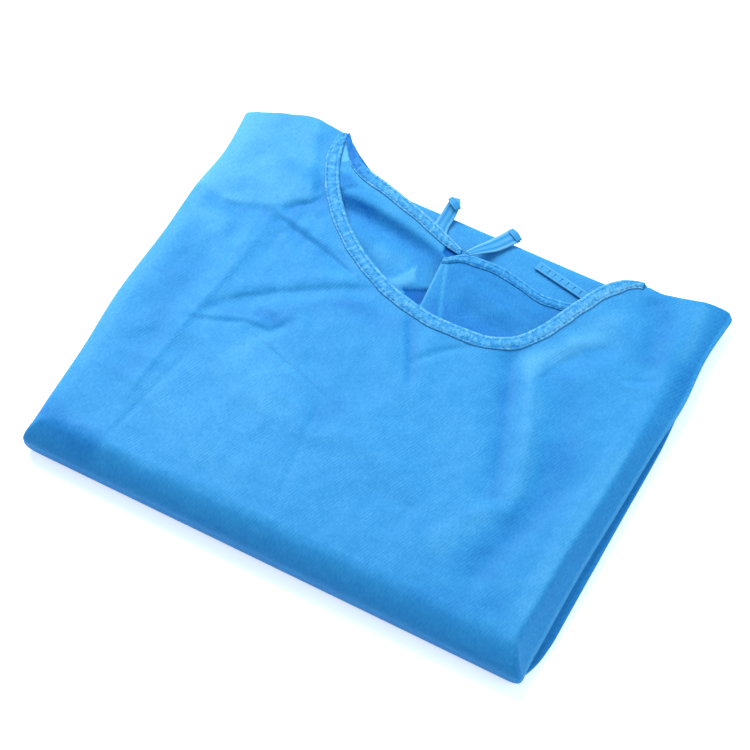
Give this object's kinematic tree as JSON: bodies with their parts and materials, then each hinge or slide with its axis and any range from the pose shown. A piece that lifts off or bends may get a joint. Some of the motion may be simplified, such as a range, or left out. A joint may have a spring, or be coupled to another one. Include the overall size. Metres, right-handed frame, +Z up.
{
  "type": "folded isolation gown",
  "caption": "Disposable isolation gown of nonwoven cloth, folded into a flat rectangular pack with the bound round neckline uppermost.",
  "frame": {"origin": "on the floor, under the middle of the folded pack's bounding box", "axes": "+X to the right along the near rolled edge, +Y from the near rolled edge to the neck and shoulders, +Z up out of the front panel"},
  "size_m": [0.3898, 0.3379, 0.0295],
  "materials": {
    "cloth": "sky blue spunbond nonwoven, fine embossed points, soft sheen",
    "inner_cloth": "wrong side of the same nonwoven, matt",
    "tape": "pale blue folded binding tape with rows of stitches"
  },
  "bodies": {
    "root": {"front_panel": "cloth", "folded_layers": "cloth", "back_panel_left": "inner_cloth", "back_panel_right": "inner_cloth", "neck_binding_front": "tape", "neck_binding_back_left": "tape", "neck_binding_back_right": "tape", "neck_tie_left": "tape", "neck_tie_right": "tape", "tape_end": "tape"}
  },
  "joints": []
}
